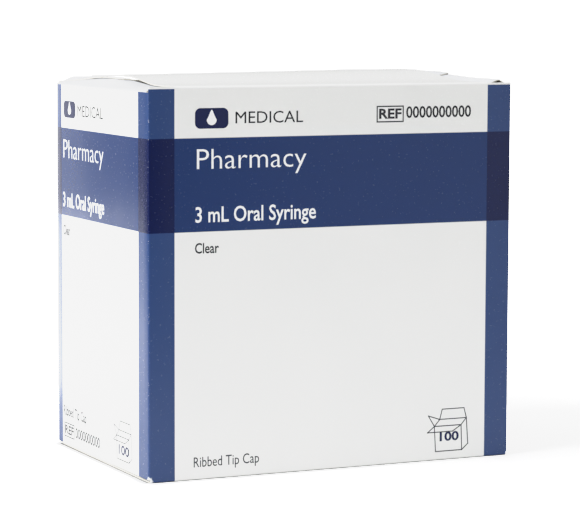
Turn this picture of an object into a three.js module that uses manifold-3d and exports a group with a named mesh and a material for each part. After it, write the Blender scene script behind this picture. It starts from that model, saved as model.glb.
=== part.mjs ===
// A folding carton that holds one hundred 3 mL oral syringes with ribbed tip caps.
// Millimetres, +Z up. The origin is the middle of the carton's base; its front faces -Y.
import * as THREE from "three";
import { mergeVertices } from "three/addons/utils/BufferGeometryUtils.js";
import Module from "manifold-3d";

const wasm = await Module();
wasm.setup();

// ---- driving dimensions -------------------------------------------------------------------

const carton = {
  width: 158.75, // 6 1/4 in
  depth: 101.6, // 4 in
  height: 153, // 6 in between creases, and the creases' own roundness
  board: 0.5, // 18-point paperboard
  flapGap: 0.3, // air between two closed top flaps
};

const lid = {
  cornerInset: 11, // the hinge crease stops this far from each front corner
  backClearance: 0.8,
  sideTaper: 1.5,
  cornerRadius: 9,
  // The bow over the rest of the closed top, each as [left side, right side]
  crown: [2.6, 3.6],
  bowStart: [18, 20], // distances from the hinge crease to where it starts, peaks and falls again
  bowPeak: [50, 62],
  fallStart: [56, 70],
  fall: [0.5, 0.26], // share of the crown that the free edge loses
};

const innerFlap = { length: 60, sideClearance: 1.2, sideTaper: 4 };

// The tapers let the dust flaps rise at 0.4 of the lid's speed without touching what covers them.
// The front edge stays straight as far as the lid's side, so that each front corner is closed.
const dustFlap = { length: 45, frontTaper: 15.5, backTaper: 33, endClearance: 1, frontStep: 1.5 };

const bottomFlap = { innerLength: 60, dustLength: 45, dustTaper: 6, clearance: 0.8 };

const glueSeam = { width: 15, endInset: 4 };

// Stations run along a syringe's axis, from the thumb disc's outer face to the cap's end.
const syringe = {
  sides: 16,
  boreRadius: 4.33, // 3 mL over a 51 mm stroke
  barrelRadius: 5.15,
  flangeStart: 9,
  flangeThickness: 1.8,
  flangeWidth: 19.4,
  flangeHeight: 12,
  shoulder: 75,
  boreEnd: 73.8,
  tipRadius: 2.3,
  tipEndRadius: 2.05,
  tipEnd: 85,
  lumenRadius: 0.9,
  thumbRadius: 6.4,
  thumbThickness: 2,
  rodWidth: 7.6,
  rodWeb: 1.2,
  rodEnd: 67,
  knobRadius: 2,
  knobEnd: 70.2,
  sealRadius: 4.28,
  sealStart: 67.3,
  sealEnd: 73.4,
  sealRib: 1.3,
  sealPocket: 2.3,
  sealPocketEnd: 70.6,
  capStart: 75.4,
  capEnd: 88,
  capBoreEnd: 85.8,
  capBoreRadius: 2.5,
  capRadius: 4.1,
  capRibs: 12,
  capRibDepth: 0.45,
};

const topLayer = { count: 6, pitch: 15.5, strokeOut: 51, capPull: 12 };

const lowerRows = {
  counts: [10, 11, 10, 11, 10, 11, 10, 11, 10],
  pitch: 13.7,
  rise: 13.2,
  sides: 6,
  flangeWidth: 18.2, // meets the next syringe's taper, which joins the row
};

const layerGap = 0.4;

// ---- materials ----------------------------------------------------------------------------

const finish = (color, roughness) => new THREE.MeshStandardMaterial({ color, roughness, metalness: 0 });

const coatedBoard = () => finish(0xe9e9e6, 0.4);
const rawBoard = () => finish(0xdcd9cf, 0.85);
const clearPlastic = () => finish(0xe4ebee, 0.15);
const whitePlastic = () => finish(0xf1f2f0, 0.35);
const darkRubber = () => finish(0x2c2d30, 0.7);

// ---- solids -------------------------------------------------------------------------------

const model = new THREE.Group();

function addNode(name, geometry, material, parent = model) {
  const mesh = new THREE.Mesh(geometry, material);
  mesh.name = name;
  parent.add(mesh);
  return mesh;
}

function toSolid(geometry) {
  const bare = geometry.clone();
  bare.deleteAttribute("normal");
  bare.deleteAttribute("uv");
  const merged = mergeVertices(bare, 1e-4);
  return new wasm.Manifold(
    new wasm.Mesh({
      numProp: 3,
      vertProperties: merged.attributes.position.array,
      triVerts: new Uint32Array(merged.index.array),
    }),
  );
}

function toGeometry(solid) {
  const mesh = solid.getMesh();
  const geometry = new THREE.BufferGeometry();
  geometry.setAttribute("position", new THREE.BufferAttribute(mesh.vertProperties, 3));
  geometry.setIndex(new THREE.BufferAttribute(mesh.triVerts, 1));
  geometry.computeVertexNormals();
  return geometry;
}

const joined = (geometries) =>
  geometries.map(toSolid).reduce((whole, piece) => whole.add(piece));

// A board between two corners.
function board(low, high) {
  const size = high.map((value, axis) => value - low[axis]);
  const geometry = new THREE.BoxGeometry(...size);
  geometry.translate(...low.map((value, axis) => value + size[axis] / 2));
  return geometry;
}

// A flat board of any outline in plan, lying on the level z.
function plate(points, z) {
  const shape = new THREE.Shape(points.map(([x, y]) => new THREE.Vector2(x, y)));
  const geometry = new THREE.ExtrudeGeometry(shape, { depth: carton.board, bevelEnabled: false });
  geometry.translate(0, 0, z);
  return geometry;
}

// A turned solid about the X axis: its profile is [station along X, radius], on the axis at both ends.
function turned(profile, sides) {
  const points = profile.map(([station, radius]) => new THREE.Vector2(radius, station));
  const geometry = new THREE.LatheGeometry(points, sides);
  geometry.rotateZ(-Math.PI / 2);
  return geometry;
}

const rod = (start, end, radius, sides) =>
  turned([[start, 0], [start, radius], [end, radius], [end, 0]], sides);

// ---- carton: four walls and the glued seam --------------------------------------------------

const halfWidth = carton.width / 2;
const halfDepth = carton.depth / 2;
const wall = carton.board;
const lidLevel = carton.height - wall;
const innerFlapLevel = lidLevel - carton.flapGap - wall;
const dustFlapLevel = innerFlapLevel - carton.flapGap - wall;
const floorLevel = 3 * wall;

function addWalls() {
  const white = coatedBoard();
  addNode(
    "front_panel",
    board([-halfWidth, -halfDepth, wall], [halfWidth, wall - halfDepth, lidLevel]),
    white,
  );
  addNode(
    "back_panel",
    board([-halfWidth, halfDepth - wall, 2 * wall], [halfWidth, halfDepth, innerFlapLevel]),
    white,
  );
  for (const [name, side] of [["left_panel", -1], ["right_panel", 1]]) {
    const [xLow, xHigh] = [side * halfWidth, side * (halfWidth - wall)].sort((a, b) => a - b);
    const low = [xLow, wall - halfDepth, floorLevel];
    addNode(name, board(low, [xHigh, halfDepth - wall, dustFlapLevel]), white);
  }
  const seamBack = halfDepth - wall;
  const seam = board(
    [wall - halfWidth, seamBack - glueSeam.width, floorLevel + glueSeam.endInset],
    [2 * wall - halfWidth, seamBack, dustFlapLevel - glueSeam.endInset],
  );
  addNode("glue_seam_flap", seam, rawBoard());
}

// ---- carton: base flaps, glued shut ---------------------------------------------------------

function addBaseFlaps() {
  const gap = bottomFlap.clearance;
  const outerSide = halfWidth - gap;
  addNode(
    "bottom_outer_flap",
    board([-outerSide, -halfDepth, 0], [outerSide, halfDepth - gap, wall]),
    coatedBoard(),
  );
  addNode(
    "bottom_inner_flap",
    board([-outerSide, halfDepth - bottomFlap.innerLength, wall], [outerSide, halfDepth, 2 * wall]),
    coatedBoard(),
  );
  const tip = halfWidth - bottomFlap.dustLength;
  const reach = halfDepth - wall - gap;
  for (const [name, side] of [["bottom_dust_flap_left", -1], ["bottom_dust_flap_right", 1]]) {
    const outline = [
      [side * halfWidth, -reach],
      [side * halfWidth, reach],
      [side * tip, reach - bottomFlap.dustTaper],
      [side * tip, bottomFlap.dustTaper - reach],
    ];
    addNode(name, plate(outline, 2 * wall), coatedBoard());
  }
}

// ---- carton: the four top flaps -------------------------------------------------------------

const ease = (t) => t * t * (3 - 2 * t);
const clamp01 = (t) => Math.min(Math.max(t, 0), 1);

// Half the lid's width at a distance from its hinge crease.
function lidHalfWidth(distance, length) {
  const straight = halfWidth - lid.cornerInset - (lid.sideTaper * distance) / length;
  const intoCorner = Math.max(distance - (length - lid.cornerRadius), 0) / lid.cornerRadius;
  return straight - lid.cornerRadius * (1 - Math.sqrt(Math.max(1 - intoCorner ** 2, 0)));
}

// The lid's bow: flat along the crease and crowned behind it, more so at its right side.
function lidLift(across, distance, length) {
  const here = ([left, right]) => left + ((right - left) * (across + 1)) / 2;
  const rise = ease(clamp01((distance - here(lid.bowStart)) / (here(lid.bowPeak) - here(lid.bowStart))));
  const fall = ease(clamp01((distance - here(lid.fallStart)) / (length - here(lid.fallStart))));
  return here(lid.crown) * rise * (1 - fall * here(lid.fall));
}

function addLid() {
  const length = carton.depth - lid.backClearance;
  const columns = 10;
  const rows = 10;
  const geometry = new THREE.BoxGeometry(2, 1, wall, columns, rows, 1);
  const position = geometry.attributes.position;
  for (let i = 0; i < position.count; i += 1) {
    const across = position.getX(i);
    const share = position.getY(i) + 0.5;
    const distance = length * Math.sin((share * Math.PI) / 2); // closer rows towards the round corners
    position.setXYZ(
      i,
      across * lidHalfWidth(distance, length),
      distance - halfDepth,
      carton.height - wall / 2 + position.getZ(i) + lidLift(across, distance, length),
    );
  }
  addNode("lid_flap", geometry, coatedBoard());
}

function addInnerFlap() {
  const side = halfWidth - innerFlap.sideClearance;
  const edge = halfDepth - innerFlap.length;
  const outline = [
    [-side, halfDepth],
    [innerFlap.sideTaper - side, edge],
    [side - innerFlap.sideTaper, edge],
    [side, halfDepth],
  ];
  addNode("inner_top_flap", plate(outline, innerFlapLevel), rawBoard());
}

function addDustFlaps() {
  const reach = halfDepth - wall - dustFlap.endClearance;
  const tip = halfWidth - dustFlap.length;
  for (const [name, side] of [["top_dust_flap_left", -1], ["top_dust_flap_right", 1]]) {
    const outline = [
      [side * halfWidth, -reach],
      [side * halfWidth, reach],
      [side * tip, reach - dustFlap.backTaper],
      [side * tip, dustFlap.frontTaper - reach],
      [side * (halfWidth - lid.cornerInset), dustFlap.frontStep - reach],
    ];
    addNode(name, plate(outline, dustFlapLevel), rawBoard());
  }
}

// ---- syringe pieces, each made along +X from the thumb disc's outer face ----------------------

function flangeGeometry() {
  const halfHeight = syringe.flangeHeight / 2;
  const halfSpan = syringe.flangeWidth / 2;
  const round = Math.asin(halfHeight / halfSpan);
  const shape = new THREE.Shape();
  shape.absarc(0, 0, halfSpan, -round, round, false);
  shape.absarc(0, 0, halfSpan, Math.PI - round, Math.PI + round, false);
  const settings = { depth: syringe.flangeThickness, bevelEnabled: false, curveSegments: 4 };
  const geometry = new THREE.ExtrudeGeometry(shape, settings);
  geometry.rotateX(Math.PI / 2);
  geometry.rotateZ(Math.PI / 2);
  geometry.translate(syringe.flangeStart, 0, 0);
  return geometry;
}

function barrelGeometry() {
  const shell = turned(
    [
      [syringe.flangeStart, 0],
      [syringe.flangeStart, syringe.barrelRadius],
      [syringe.shoulder - 0.6, syringe.barrelRadius],
      [syringe.shoulder, syringe.barrelRadius - 0.6],
      [syringe.shoulder, syringe.tipRadius],
      [syringe.tipEnd, syringe.tipEndRadius],
      [syringe.tipEnd, 0],
    ],
    syringe.sides,
  );
  const bore = turned(
    [
      [syringe.flangeStart - 1, 0],
      [syringe.flangeStart - 1, syringe.boreRadius],
      [syringe.boreEnd, syringe.boreRadius],
      [syringe.boreEnd, syringe.lumenRadius],
      [syringe.tipEnd + 1, syringe.lumenRadius],
      [syringe.tipEnd + 1, 0],
    ],
    syringe.sides,
  );
  return toGeometry(joined([shell, flangeGeometry()]).subtract(toSolid(bore)));
}

function rodGeometry() {
  const webLength = syringe.rodEnd - syringe.thumbThickness;
  const web = (width, height) => {
    const geometry = new THREE.BoxGeometry(webLength, width, height);
    geometry.translate(syringe.thumbThickness + webLength / 2 - 0.5, 0, 0);
    return geometry;
  };
  const pieces = [
    rod(0, syringe.thumbThickness, syringe.thumbRadius, syringe.sides),
    web(syringe.rodWidth, syringe.rodWeb),
    web(syringe.rodWeb, syringe.rodWidth),
    rod(syringe.rodEnd - 1.5, syringe.rodEnd, syringe.rodWidth / 2 + 0.1, 12),
    rod(syringe.rodEnd - 0.5, syringe.knobEnd, syringe.knobRadius, 8),
  ];
  return toGeometry(joined(pieces));
}

// The seal has a rib at each end and a pocket in its back for the rod's knob.
function sealGeometry() {
  const waist = syringe.sealRadius - 0.35;
  const profile = [
    [syringe.sealPocketEnd, 0],
    [syringe.sealPocketEnd, syringe.sealPocket],
    [syringe.sealStart, syringe.sealPocket],
    [syringe.sealStart, syringe.sealRadius],
    [syringe.sealStart + syringe.sealRib, syringe.sealRadius],
    [syringe.sealStart + syringe.sealRib + 0.3, waist],
    [syringe.sealEnd - syringe.sealRib - 0.3, waist],
    [syringe.sealEnd - syringe.sealRib, syringe.sealRadius],
    [syringe.sealEnd - 0.3, syringe.sealRadius],
    [syringe.sealEnd, syringe.sealRadius - 0.4],
    [syringe.sealEnd, 0],
  ];
  return turned(profile, syringe.sides);
}

function capGeometry() {
  const steps = syringe.capRibs * 4;
  const outline = [];
  for (let i = 0; i < steps; i += 1) {
    const angle = (i / steps) * 2 * Math.PI;
    const radius = syringe.capRadius - (i % 4 < 2 ? 0 : syringe.capRibDepth);
    outline.push(new THREE.Vector2(radius * Math.cos(angle), radius * Math.sin(angle)));
  }
  const settings = { depth: syringe.capEnd - syringe.capStart, bevelEnabled: false };
  const body = new THREE.ExtrudeGeometry(new THREE.Shape(outline), settings);
  body.rotateY(Math.PI / 2);
  body.translate(syringe.capStart, 0, 0);
  const bore = rod(syringe.capStart - 1, syringe.capBoreEnd, syringe.capBoreRadius, 10);
  return toGeometry(toSolid(body).subtract(toSolid(bore)));
}

// ---- the top layer: six syringes across the carton, head to tail ------------------------------

const rowAxis = (row) => floorLevel + layerGap + syringe.thumbRadius + row * lowerRows.rise;
const topLayerAxis = rowAxis(lowerRows.counts.length - 1) + 2 * syringe.thumbRadius + layerGap;

function addTopLayer() {
  const pieces = [
    ["barrel", barrelGeometry(), clearPlastic()],
    ["plunger_rod", rodGeometry(), whitePlastic()],
    ["piston_seal", sealGeometry(), darkRubber()],
    ["tip_cap", capGeometry(), whitePlastic()],
  ];
  // The free play is shared, so a drawn plunger and a pulled cap both stay inside the walls.
  const reach = syringe.capEnd + topLayer.capPull;
  const start = (topLayer.strokeOut - reach) / 2;
  for (let i = 0; i < topLayer.count; i += 1) {
    const place = new THREE.Group();
    const turnedRound = i % 2 === 1;
    const across = (i - (topLayer.count - 1) / 2) * topLayer.pitch;
    place.position.set(turnedRound ? -start : start, across, topLayerAxis);
    place.rotation.z = turnedRound ? Math.PI : 0;
    for (const [name, geometry, material] of pieces) addNode(`${name}_${i + 1}`, geometry, material, place);
    model.add(place);
  }
}

// ---- the lower rows: syringes front to back, each row joined where flange meets cap ------------

function plainSyringe() {
  const outline = [
    [0, 0],
    [0, syringe.barrelRadius],
    [syringe.shoulder, syringe.barrelRadius],
    [syringe.capEnd, syringe.capRadius - 0.9],
    [syringe.capEnd, 0],
  ];
  const body = turned(outline, lowerRows.sides);
  body.rotateX(Math.PI / lowerRows.sides); // an edge towards each neighbour, to meet its flange
  const flange = new THREE.BoxGeometry(
    syringe.flangeThickness,
    lowerRows.flangeWidth,
    syringe.flangeHeight,
  );
  flange.translate(syringe.flangeStart + syringe.flangeThickness / 2, 0, 0);
  return [body, flange];
}

function addLowerRows() {
  lowerRows.counts.forEach((count, row) => {
    const pieces = [];
    for (let i = 0; i < count; i += 1) {
      const place = new THREE.Matrix4()
        .makeTranslation((i - (count - 1) / 2) * lowerRows.pitch, 0, rowAxis(row))
        .multiply(new THREE.Matrix4().makeRotationZ(((i % 2 ? -1 : 1) * Math.PI) / 2))
        .multiply(new THREE.Matrix4().makeTranslation(-syringe.capEnd / 2, 0, 0));
      pieces.push(...plainSyringe().map((geometry) => geometry.applyMatrix4(place)));
    }
    addNode(`syringe_row_${row + 1}`, toGeometry(joined(pieces)), clearPlastic());
  });
}

addWalls();
addBaseFlaps();
addLid();
addInnerFlap();
addDustFlaps();
addTopLayer();
addLowerRows();

export default model;
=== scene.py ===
import math

import bmesh
import bpy
from mathutils import Matrix, Vector


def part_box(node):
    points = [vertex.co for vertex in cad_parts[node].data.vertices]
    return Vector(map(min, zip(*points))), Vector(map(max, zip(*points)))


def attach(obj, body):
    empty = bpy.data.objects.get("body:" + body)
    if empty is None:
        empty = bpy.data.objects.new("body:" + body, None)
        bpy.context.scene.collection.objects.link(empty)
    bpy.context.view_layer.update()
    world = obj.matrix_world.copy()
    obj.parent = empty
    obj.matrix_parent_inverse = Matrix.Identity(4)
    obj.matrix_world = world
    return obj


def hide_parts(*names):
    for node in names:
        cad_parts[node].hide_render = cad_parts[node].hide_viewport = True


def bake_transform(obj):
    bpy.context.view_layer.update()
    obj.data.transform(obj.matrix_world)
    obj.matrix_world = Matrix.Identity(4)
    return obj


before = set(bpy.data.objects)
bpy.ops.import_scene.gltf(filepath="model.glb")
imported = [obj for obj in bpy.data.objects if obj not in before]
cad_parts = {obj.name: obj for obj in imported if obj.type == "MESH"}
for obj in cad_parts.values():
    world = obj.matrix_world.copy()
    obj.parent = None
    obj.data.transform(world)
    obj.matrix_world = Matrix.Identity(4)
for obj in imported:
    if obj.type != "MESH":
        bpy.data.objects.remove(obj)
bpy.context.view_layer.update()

print("frame loaded:", len(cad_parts), "CAD nodes")

metresPerMm = 0.001
skin = 0.05  # every outer surface stays this far inside the CAD one, mm


def linear(hexColour):  # an sRGB colour such as "#E9E9E6" as linear RGBA
    parts = [int(hexColour[i:i + 2], 16) / 255 for i in (1, 3, 5)]
    return [p / 12.92 if p <= 0.04045 else ((p + 0.055) / 1.055) ** 2.4 for p in parts] + [1]


def clamp(value):
    return min(max(value, 0), 1)


def ease(value):
    share = clamp(value)
    return share * share * (3 - 2 * share)


def nodeBox(name):  # a CAD node's corners in millimetres
    low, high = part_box(name)
    return low / metresPerMm, high / metresPerMm


def makePiece(name, bm, materials, sharpAngle=35):
    bmesh.ops.scale(bm, vec=Vector((1, 1, 1)) * metresPerMm, verts=bm.verts)
    mesh = bpy.data.meshes.new(name)
    bm.to_mesh(mesh)
    bm.free()
    for material in materials:
        mesh.materials.append(material)
    mesh.shade_smooth()
    mesh.set_sharp_from_angle(angle=math.radians(sharpAngle))
    piece = bpy.data.objects.new(name, mesh)
    bpy.context.scene.collection.objects.link(piece)
    return piece


def giveThickness(piece, thickness):  # grows the board inwards from its printed face
    wall = piece.modifiers.new("thickness", "SOLIDIFY")
    wall.thickness = thickness * metresPerMm
    wall.offset = -1
    wall.use_even_offset = True
    wall.material_offset = 1
    wall.material_offset_rim = 2
    solid = bpy.data.meshes.new_from_object(piece.evaluated_get(bpy.context.evaluated_depsgraph_get()))
    solid.name = piece.name
    piece.modifiers.clear()
    piece.data = solid
    solid.set_sharp_from_angle(angle=math.radians(35))


def vertsOf(geometry):  # the vertices in what an operator returned
    return [item for item in geometry if isinstance(item, bmesh.types.BMVert)]


def faceTowards(bm, direction):  # makes an open sheet's faces agree, and turns them to one side
    bmesh.ops.recalc_face_normals(bm, faces=bm.faces)
    facing = sum((face.normal.dot(direction) * face.calc_area() for face in bm.faces), 0)
    if facing < 0:
        bmesh.ops.reverse_faces(bm, faces=bm.faces)


def addNode(shader, kind, settings, inputs):
    tree = shader.id_data
    node = tree.nodes.new("ShaderNode" + kind)
    for name, value in settings.items():
        setattr(node, name, value)
    for key, value in inputs.items():
        if isinstance(value, bpy.types.NodeSocket):
            tree.links.new(value, node.inputs[key])
        else:
            node.inputs[key].default_value = value
    return node


def startMaterial(name, roughness, ior=1.5):
    material = bpy.data.materials.new(name)
    material.use_nodes = True
    shader = material.node_tree.nodes["Principled BSDF"]
    shader.inputs["Roughness"].default_value = roughness
    shader.inputs["IOR"].default_value = ior
    place = addNode(shader, "TexCoord", {}, {}).outputs["Object"]
    return material, shader, place


def connect(shader, output, name):
    shader.id_data.links.new(output, shader.inputs[name])


def perMm(size):  # the scale of a pattern whose features are this many millimetres across
    return 1 / (size * metresPerMm)


view = {
    "location": (-0.4519, -0.9768, 0.1890),
    "yaw": -25.03,  # degrees, turned from looking along +Y
    "pitch": 5.702,  # degrees below the horizon
    "roll": 0.185,
    "lens": 162.6,  # mm on a 36 mm sensor
}

lightPlan = {
    # name: (place, point it faces, width, height, watts)
    "overheadBox": ((0.05, 0.05, 1.15), (0.0, 0.0, 0.0), 1.3, 1.3, 12),
    "leftKey": ((-1.15, -0.16, 0.55), (0.0, 0.0, 0.08), 0.7, 0.8, 20),
    "frontKey": ((0.35, -1.2, 0.95), (0.0, 0.0, 0.08), 0.7, 0.5, 4.3),
    "frontCard": ((0.66, -1.05, 0.1), (0.0, -0.05, 0.08), 0.5, 0.6, 0.7),
    "sideCard": ((-0.09, 0.2, 0.03), (-0.09, 0.0, 0.03), 0.12, 0.11, 0.18),
    "farCard": ((-0.087, 0.2, 0.14), (-0.087, 0.0, 0.14), 0.094, 0.12, 0.09),
}

studio = {
    "floorMiddle": (0.0, 0.15),
    "floorRadius": 0.5,  # a round table, so the front face mirrors only the part near its foot
    "floorColour": "#F6F6F6",
    "fadeFrom": 0.15,  # the table fades into the backdrop between these distances
    "fadeTo": 0.34,
    "contactReach": 0.004,  # the painted line of shadow right under the carton's edge: the table's colour is darkened there
    "paintedShadowTone": 0.3,
    "tableWhite": 2.5,  # how far over white the camera sees the table and the backdrop
    "backdropWhite": 5.0,
    "worldLight": 0.2,
}


def addCamera():
    camera = bpy.data.objects.new("camera", bpy.data.cameras.new("camera"))
    bpy.context.scene.collection.objects.link(camera)
    turn = Matrix.Rotation(math.radians(view["yaw"]), 4, "Z")
    tilt = Matrix.Rotation(math.radians(90 - view["pitch"]), 4, "X")
    roll = Matrix.Rotation(math.radians(view["roll"]), 4, "Z")
    camera.matrix_world = Matrix.Translation(view["location"]) @ turn @ tilt @ roll
    camera.data.lens = view["lens"]
    camera.data.sensor_width = 36
    camera.data.clip_start = 0.05
    camera.data.clip_end = 20
    bpy.context.scene.camera = camera


def addLights():
    for name, (place, target, width, height, watts) in lightPlan.items():
        lamp = bpy.data.lights.new(name, "AREA")
        lamp.shape = "RECTANGLE"
        lamp.size = width
        lamp.size_y = height
        lamp.energy = watts
        light = bpy.data.objects.new(name, lamp)
        bpy.context.scene.collection.objects.link(light)
        light.location = place
        aim = Vector(target) - Vector(place)
        light.rotation_euler = aim.to_track_quat("-Z", "Y").to_euler()
        light.visible_camera = False


def addBackdrop():
    world = bpy.data.worlds.new("paleStudio")
    bpy.context.scene.world = world
    world.use_nodes = True
    background = world.node_tree.nodes["Background"]
    background.inputs["Color"].default_value = (1, 1, 1, 1)
    seen = addNode(background, "LightPath", {}, {}).outputs["Is Camera Ray"]
    level = addNode(background, "MapRange", {}, {
        "Value": seen, "To Min": studio["worldLight"], "To Max": studio["backdropWhite"]})
    connect(background, level.outputs[0], "Strength")


def addFloor():  # a white paper-covered table, which the camera sees lifted towards pure white
    material = bpy.data.materials.new("seamlessPaper")
    material.use_nodes = True
    tree = material.node_tree
    shader = tree.nodes["Principled BSDF"]
    output = tree.nodes["Material Output"]
    seen = addNode(shader, "LightPath", {}, {}).outputs["Is Camera Ray"]
    # Painted shadow: ambient occlusion darkens the table's colour, as the camera sees it, right under the
    # carton's edge
    near = addNode(shader, "AmbientOcclusion", {}, {"Distance": studio["contactReach"]})
    contact = addNode(shader, "MapRange", {}, {
        "Value": near.outputs["AO"], "From Min": 0.45, "From Max": 0.9,
        "To Min": studio["paintedShadowTone"], "To Max": studio["tableWhite"]})
    lift = addNode(shader, "MapRange", {}, {
        "Value": seen, "To Min": linear(studio["floorColour"])[0], "To Max": contact.outputs[0]})
    paper = addNode(shader, "BsdfDiffuse", {}, {"Color": lift.outputs[0]})
    glow = addNode(shader, "Emission", {}, {"Strength": studio["backdropWhite"]})
    place = addNode(shader, "TexCoord", {}, {}).outputs["Object"]
    away = addNode(shader, "VectorMath", {"operation": "LENGTH"}, {0: place})
    fade = addNode(shader, "MapRange", {"interpolation_type": "SMOOTHSTEP"}, {
        "Value": away.outputs["Value"], "From Min": studio["fadeFrom"], "From Max": studio["fadeTo"]})
    share = addNode(shader, "Math", {"operation": "MULTIPLY"}, {0: fade.outputs[0], 1: seen})
    blend = addNode(shader, "MixShader", {}, {0: share.outputs[0], 1: paper.outputs[0], 2: glow.outputs[0]})
    tree.links.new(blend.outputs[0], output.inputs["Surface"])
    tree.nodes.remove(shader)
    bm = bmesh.new()
    bmesh.ops.create_circle(bm, cap_ends=True, segments=96, radius=studio["floorRadius"] / metresPerMm)
    middle = Vector((*studio["floorMiddle"], 0)) / metresPerMm
    bmesh.ops.translate(bm, vec=middle, verts=bm.verts)
    floor = makePiece("floor", bm, [material])


gradeWhite = 3.0
# Each (light level, tone in the render)
gradePoints = [(0.35, 0.35), (0.7, 0.7), (0.85, 0.81), (1.1, 0.87), (1.6, 0.9), (2.3, 0.925)]


def gradeView():  # a soft tone curve: white board keeps its tone under the bright left light
    settings = bpy.context.scene.view_settings
    settings.view_transform = "Standard"
    settings.look = "None"
    settings.use_curve_mapping = True
    mapping = settings.curve_mapping
    mapping.white_level = (gradeWhite, gradeWhite, gradeWhite)
    curve = mapping.curves[3]
    for level, tone in gradePoints:
        curve.points.new(level / gradeWhite, tone)
    mapping.update()


addCamera()
addLights()
addBackdrop()
addFloor()
gradeView()
print("camera, lights and floor placed")


printPlan = {
    # millimetres in the carton's own frame
    "stripeFrom": 68.4,  # a stripe runs down each front edge, on both faces that meet there
    "nearStripe": -40.5,  # the front edge's stripe on a side face starts here
    "farStripe": 45.0,  # and the back edge's here
    "bandBottom": 96.8,
    "bandTop": 133.0,
    "printTop": 152.0,
    "inkSoftness": 0.08,
    "stripeInk": "#2C4372",
    "bandInk": "#183264",
    "doubleInk": "#021244",  # the band printed over a stripe
    "bareBoard": "#EDF0F2",
}

boardLook = {
    "white": "#F0F0EE",
    "whiteShade": "#E8E9E8",
    "varnishRoughness": 0.25,
    "varnishIor": 1.43,
    "grainSize": 0.9,  # paper fibres in clumps, mm, drawn coarse enough to show
    "waveSize": 26.0,  # slow waviness of a loaded wall, mm
    # The covered flaps' two greys are painted shade: darker than the white board for the shade under the
    # lid, with a random tone between them
    "bare": "#C8CACE",
    "bareShade": "#BEC0C5",
    "raw": "#D9D7CF",
    "rawShade": "#BEBBB0",
    "cut": "#DCD9D0",
}


def varnishedBoard(name, printed):
    # Solid bleached board, clay coated, offset printed and gloss varnished: even colour, soft highlights.
    material, shader, place = startMaterial(name, boardLook["varnishRoughness"], boardLook["varnishIor"])
    cloud = addNode(shader, "TexNoise", {}, {"Vector": place, "Scale": perMm(40), "Detail": 3.0})
    white = addNode(shader, "Mix", {"data_type": "RGBA"}, {
        0: cloud.outputs[0], 6: linear(boardLook["white"]), 7: linear(boardLook["whiteShade"])})
    colour = white.outputs[2]
    if printed:
        colour = addPrint(shader, place, colour)
    connect(shader, colour, "Base Color")
    grain = addNode(shader, "TexNoise", {}, {
        "Vector": place, "Scale": perMm(boardLook["grainSize"]), "Detail": 2.0})
    gloss = addNode(shader, "MapRange", {}, {"Value": grain.outputs[0], "From Min": 0.3, "From Max": 0.7,
        "To Min": boardLook["varnishRoughness"] - 0.01, "To Max": boardLook["varnishRoughness"] + 0.025})
    connect(shader, gloss.outputs[0], "Roughness")
    wave = addNode(shader, "TexNoise", {}, {
        "Vector": place, "Scale": perMm(boardLook["waveSize"]), "Detail": 1.0})
    slow = addNode(shader, "Bump", {}, {"Height": wave.outputs[0], "Distance": 0.0004, "Strength": 0.35})
    fine = addNode(shader, "Bump", {}, {
        "Height": grain.outputs[0], "Distance": 0.000004, "Strength": 0.06, "Normal": slow.outputs[0]})
    connect(shader, fine.outputs[0], "Normal")
    return material


wearPlan = {
    "foldWidth": 0.45,  # the ink cracks this far round a fold, mm
    "speckSize": 1.3,
    "speckShare": 0.55,  # how far a speck shows the bare board
    "knockSize": 3.0,  # the near bottom corner is bared this far around, with a ragged edge, mm
    "knockEdge": 0.6,
    "knockRagged": 4,  # how strongly the specks break up that edge
}


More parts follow.
